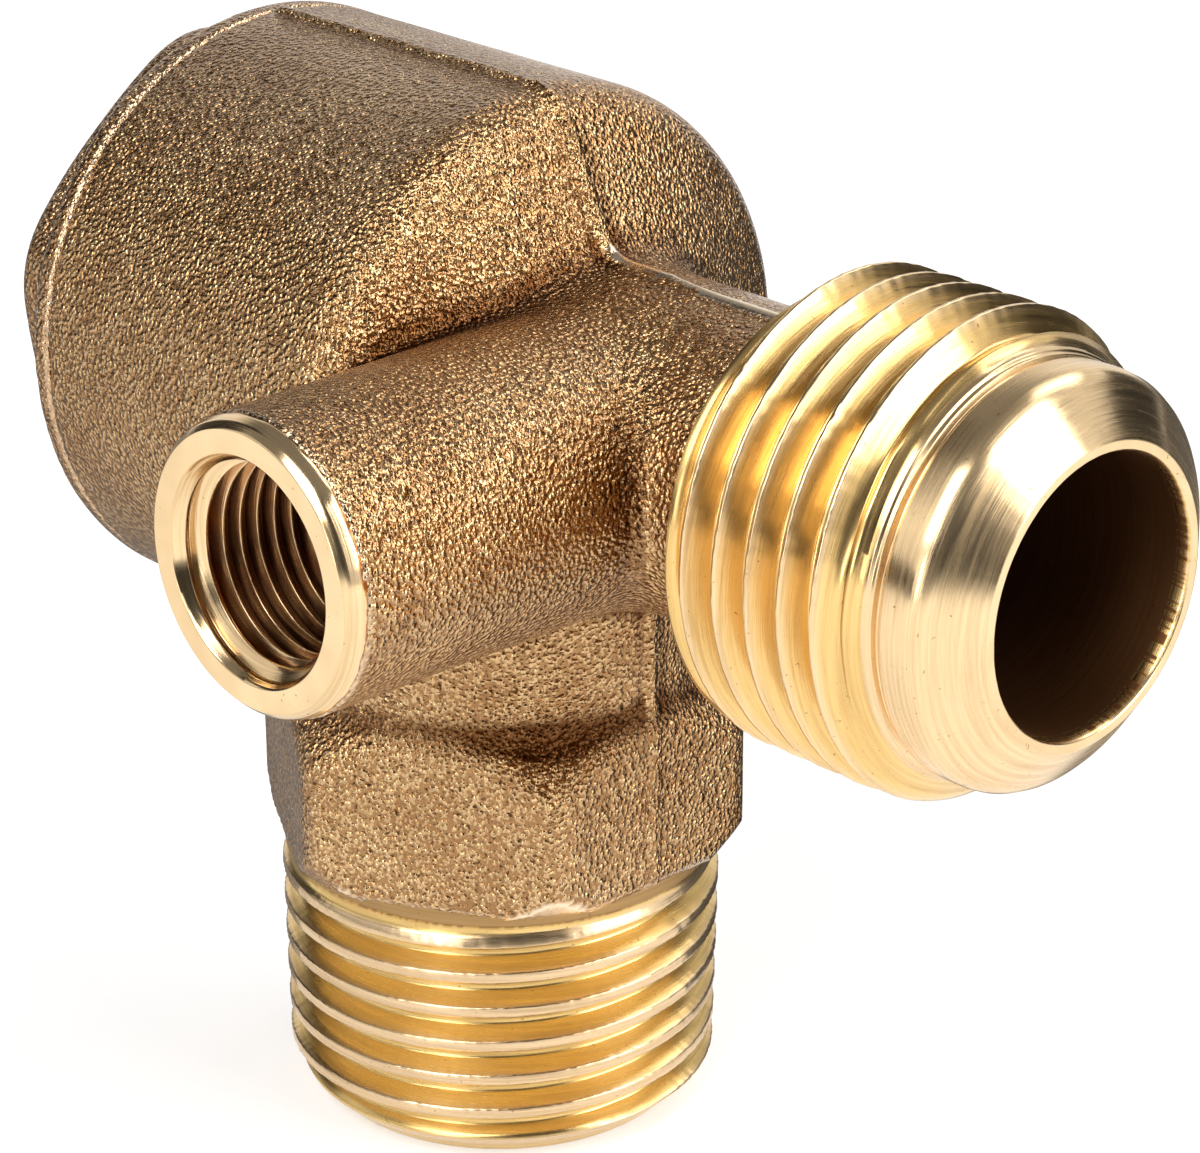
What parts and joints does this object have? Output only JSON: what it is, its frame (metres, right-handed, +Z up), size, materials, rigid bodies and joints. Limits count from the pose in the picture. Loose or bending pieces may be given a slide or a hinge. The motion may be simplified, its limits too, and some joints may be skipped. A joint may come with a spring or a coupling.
{
  "type": "three-way non-return valve",
  "caption": "Cast brass three-way non-return valve with a flared pipe inlet, a tapped side port, a threaded tank port under a hexagon, and a sprung poppet behind a screwed hexagon cap.",
  "frame": {"origin": "on the tank port's axis, at the underside of the hexagon, where the valve seats on the tank's boss", "axes": "+Z up, away from the tank; +X along the chamber towards the flared inlet port; -Y towards the side port"},
  "size_m": [0.0551, 0.037, 0.0499],
  "materials": {
    "cast_brass": "shot-blasted casting with bright turned ports",
    "cap_brass": "shot-blasted forging",
    "turned_brass": "turned",
    "seat_rubber": "matte",
    "ring_rubber": "matte",
    "spring_steel": "drawn wire"
  },
  "bodies": {
    "housing": {"valve_body": "cast_brass", "inlet_port": "cast_brass", "unloader_port": "cast_brass", "tank_port": "cast_brass", "end_cap": "cap_brass", "seal_ring": "ring_rubber", "return_spring": "spring_steel"},
    "poppet": {"valve_poppet": "turned_brass", "seat_disc": "seat_rubber"}
  },
  "joints": [
    {"name": "poppet_lift", "type": "slide", "parent": "housing", "child": "poppet", "axis": [-1, 0, 0], "range_m": [0, 0.0035], "stiffness_N_per_m": 300, "springref_m": -0.004, "deforming": ["return_spring"]}
  ]
}
